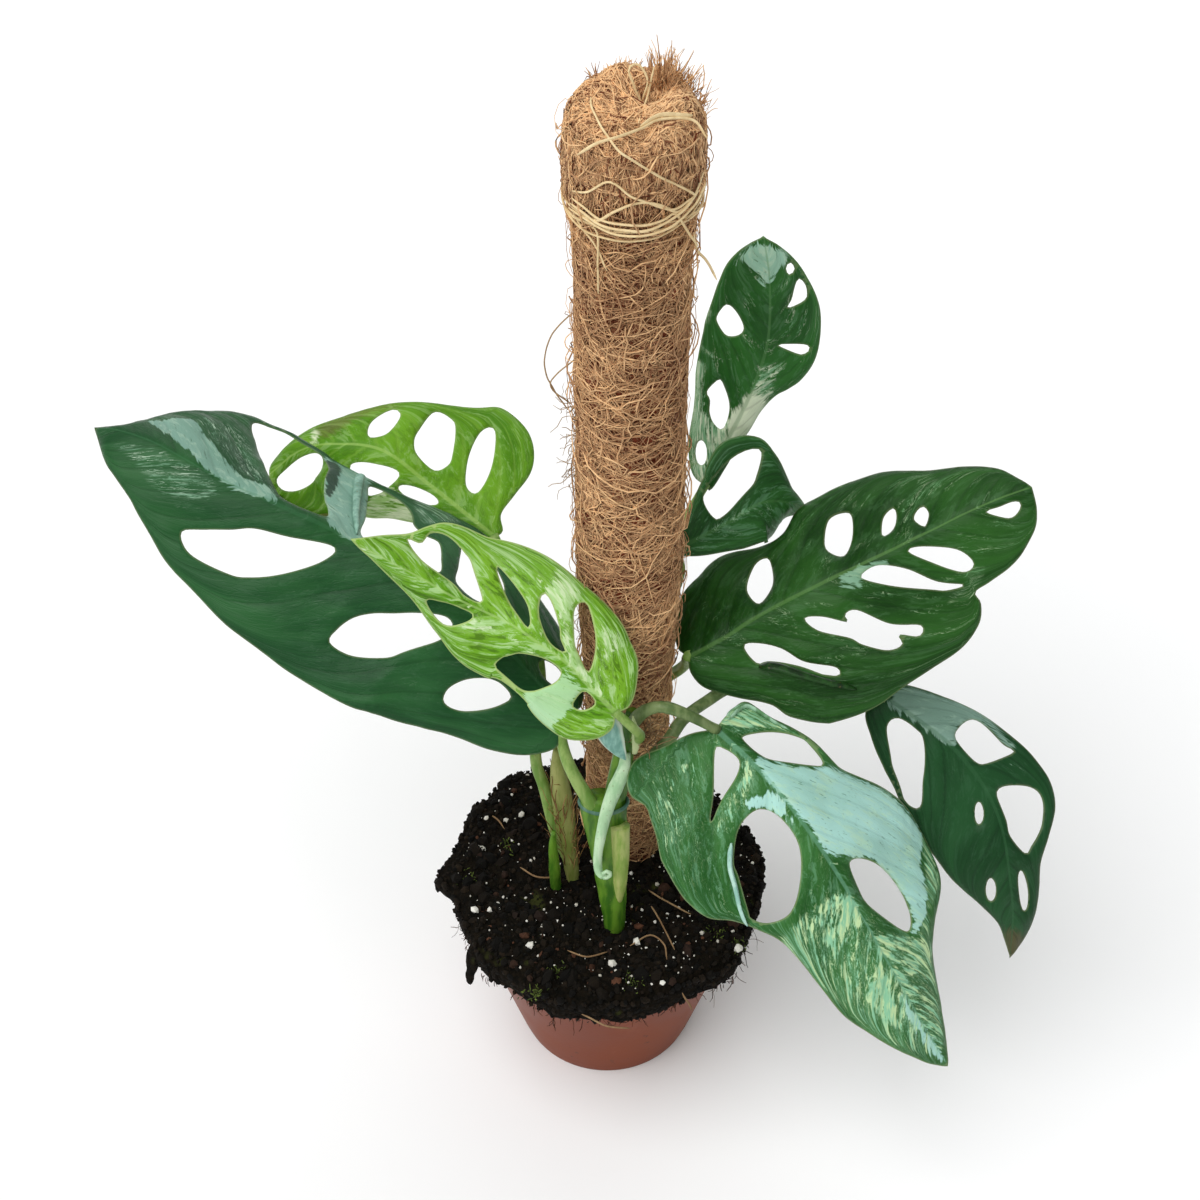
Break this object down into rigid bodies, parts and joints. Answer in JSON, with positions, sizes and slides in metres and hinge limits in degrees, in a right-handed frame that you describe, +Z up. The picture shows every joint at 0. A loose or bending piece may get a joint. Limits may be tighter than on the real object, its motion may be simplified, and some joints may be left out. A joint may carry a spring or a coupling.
{
  "type": "potted indonesian marble monstera",
  "caption": "Young variegated climbing aroid with pierced leaves, tied beside a coir pole in a terracotta-coloured nursery pot of dark soil.",
  "frame": {"origin": "centre of the pot's flat underside", "axes": "+Z up along the pole, -Y towards the leafy front, +X to the right as seen from the front"},
  "size_m": [0.3746, 0.2108, 0.462],
  "materials": {
    "pot": "satin terracotta-coloured plastic",
    "soil": "crumbly dark potting mix with perlite and bark",
    "stake": "plain stake inside the pole",
    "coir": "matted coconut fibre",
    "raffia": "dry raffia strip",
    "stem": "smooth green stem",
    "petiole": "smooth pale green leaf stalk",
    "leaf_rolled": "pale mint rolled leaf",
    "leaf_dark": "satin dark green leaf with a few pale streaks",
    "leaf_lime": "satin lime green leaf with mint and cream marbling",
    "leaf_marbled": "satin green leaf with mint marbling",
    "leaf_blue": "satin blue-green leaf"
  },
  "bodies": {
    "root": {"pot": "pot", "soil": "soil", "pole_stake": "stake", "coir_sleeve": "coir", "raffia_tie": "raffia", "stem_front": "stem", "stem_left": "stem", "stem_back": "stem", "shoot_left": "stem", "leaf_rolled": "leaf_rolled", "petiole_left_large": "petiole", "petiole_left_back": "petiole", "petiole_left_front": "petiole", "petiole_right_top": "petiole", "petiole_right_back": "petiole", "petiole_right_large": "petiole", "petiole_front": "petiole", "petiole_right_low": "petiole", "leaf_left_large": "leaf_dark", "leaf_left_back": "leaf_lime", "leaf_left_front": "leaf_lime", "leaf_right_top": "leaf_dark", "leaf_right_back": "leaf_dark", "leaf_right_large": "leaf_dark", "leaf_front": "leaf_marbled", "leaf_right_low": "leaf_blue"}
  },
  "joints": []
}
